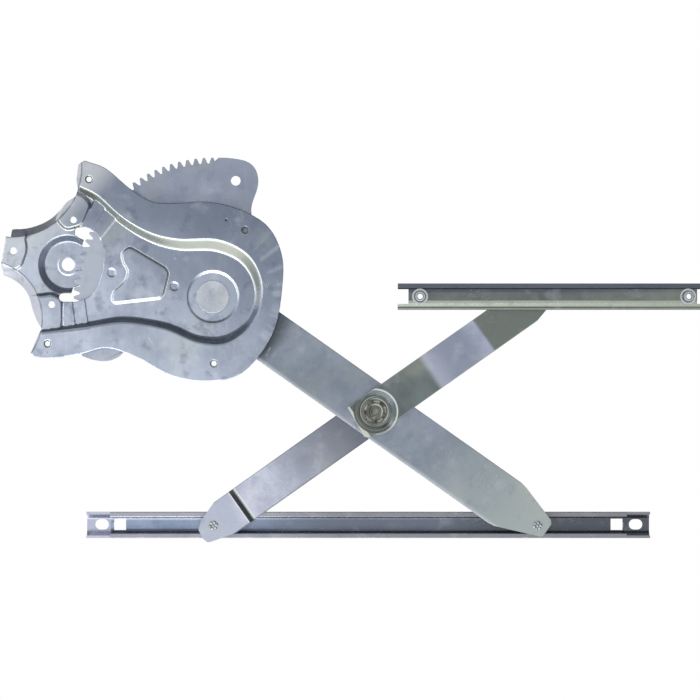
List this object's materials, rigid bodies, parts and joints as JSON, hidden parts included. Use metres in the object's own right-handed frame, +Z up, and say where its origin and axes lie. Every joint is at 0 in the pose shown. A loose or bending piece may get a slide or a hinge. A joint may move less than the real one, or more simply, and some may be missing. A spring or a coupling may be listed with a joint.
{
  "type": "window regulator",
  "caption": "Scissor-type car window regulator: pressed base plate, toothed sector and lift arm, equalizer arm, fixed guide rail and glass lift channel, without motor.",
  "frame": {"origin": "where the main pivot's axis meets the plane of the base plate's mounting face", "axes": "+Z up as in the door, +X along the rails away from the motor, -Y towards the cabin side that bolts to the door"},
  "size_m": [0.6652, 0.0618, 0.3665],
  "materials": {
    "plate_zinc": "zinc-plated pressed steel",
    "sector_zinc": "zinc-plated steel",
    "lift_zinc": "zinc-plated steel",
    "upper_arm_zinc": "zinc-plated steel",
    "lower_arm_zinc": "zinc-plated steel",
    "rail_zinc": "zinc-plated rolled steel",
    "channel_zinc": "zinc-plated rolled steel",
    "nut_zinc": "zinc-plated",
    "rivet_steel": "bright",
    "pivot_zinc": "zinc-plated",
    "cross_zinc": "zinc-plated, crimped",
    "bush_bronze": "oiled sintered bronze",
    "roller_nylon": "moulded nylon, greased"
  },
  "bodies": {
    "base": {"base_plate": "plate_zinc", "weld_nuts": "nut_zinc", "pivot_pin": "pivot_zinc", "fixed_rail": "rail_zinc", "rail_nuts": "nut_zinc"},
    "lift_lever": {"sector_gear": "sector_zinc", "pivot_bush": "bush_bronze", "lift_arm": "lift_zinc", "arm_rivets": "rivet_steel", "cross_bush": "bush_bronze", "lift_pin": "rivet_steel"},
    "equalizer": {"equalizer_upper_arm": "upper_arm_zinc", "equalizer_lower_arm": "lower_arm_zinc", "cross_pivot": "cross_zinc", "upper_pin": "rivet_steel", "lower_pin": "rivet_steel"},
    "channel": {"glass_channel": "channel_zinc"},
    "nose_roller": {"lift_roller": "roller_nylon"},
    "rail_roller": {"upper_roller": "roller_nylon"},
    "heel_roller": {"lower_roller": "roller_nylon"}
  },
  "joints": [
    {"name": "lift", "type": "hinge", "parent": "base", "child": "lift_lever", "pos_m": [0, 0.014, 0], "axis": [0, -1, 0], "range_deg": [-6, 72]},
    {"name": "scissor", "type": "hinge", "parent": "lift_lever", "child": "equalizer", "pos_m": [0.15444, 0.0155, -0.10895], "axis": [0, -1, 0], "range_deg": [-144.5, 12.5]},
    {"name": "channel_level", "type": "hinge", "parent": "equalizer", "child": "channel", "pos_m": [0, 0.0318, -0.21789], "axis": [0, -1, 0], "range_deg": [-6.5, 72.5]},
    {"name": "nose_roller_spin", "type": "hinge", "parent": "lift_lever", "child": "nose_roller", "pos_m": [0.30888, 0.0318, -0.21789], "axis": [0, -1, 0], "continuous": true},
    {"name": "rail_roller_spin", "type": "hinge", "parent": "equalizer", "child": "rail_roller", "pos_m": [0.30888, -0.0012, 0], "axis": [0, -1, 0], "continuous": true},
    {"name": "heel_roller_spin", "type": "hinge", "parent": "equalizer", "child": "heel_roller", "pos_m": [0, 0.0318, -0.21789], "axis": [0, -1, 0], "continuous": true}
  ],
  "couplings": [
    {"joint": "scissor", "follows": "lift", "ratio": -2},
    {"joint": "channel_level", "follows": "lift", "ratio": 1}
  ]
}
